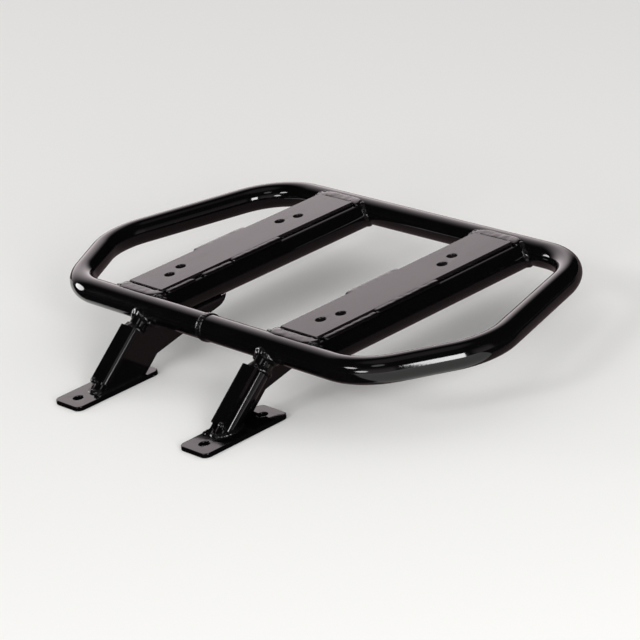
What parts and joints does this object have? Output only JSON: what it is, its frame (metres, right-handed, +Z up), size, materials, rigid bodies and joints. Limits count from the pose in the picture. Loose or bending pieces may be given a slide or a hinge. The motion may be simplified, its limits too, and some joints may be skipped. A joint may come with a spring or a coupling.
{
  "type": "motorcycle luggage rack",
  "caption": "Welded steel tail rack for a motorcycle: a six-sided tube loop with drilled plates on rail tubes, and two braced legs that bolt down.",
  "frame": {"origin": "middle of the four foot bolts, on the underside of the feet", "axes": "+X to the motorcycle's left, +Y to its rear, +Z up, square to the loop"},
  "size_m": [0.4848, 0.34, 0.0632],
  "materials": {
    "frame_coat": "gloss black powder coat",
    "plate_coat": "gloss black powder coat",
    "weld_coat": "gloss black powder coat over weld beads"
  },
  "bodies": {
    "root": {"loop_tube": "frame_coat", "left_outer_rail": "frame_coat", "left_inner_rail": "frame_coat", "right_inner_rail": "frame_coat", "right_outer_rail": "frame_coat", "left_plate": "plate_coat", "right_plate": "plate_coat", "left_leg": "frame_coat", "right_leg": "frame_coat", "left_bracket": "frame_coat", "right_bracket": "frame_coat", "left_foot": "frame_coat", "right_foot": "frame_coat", "loop_seam_weld": "weld_coat", "left_outer_rail_welds": "weld_coat", "left_inner_rail_welds": "weld_coat", "right_inner_rail_welds": "weld_coat", "right_outer_rail_welds": "weld_coat", "left_plate_end_welds": "weld_coat", "right_plate_end_welds": "weld_coat", "left_plate_edge_welds": "weld_coat", "right_plate_edge_welds": "weld_coat", "left_leg_weld": "weld_coat", "right_leg_weld": "weld_coat", "left_bracket_welds": "weld_coat", "right_bracket_welds": "weld_coat", "left_foot_welds": "weld_coat", "right_foot_welds": "weld_coat"}
  },
  "joints": []
}
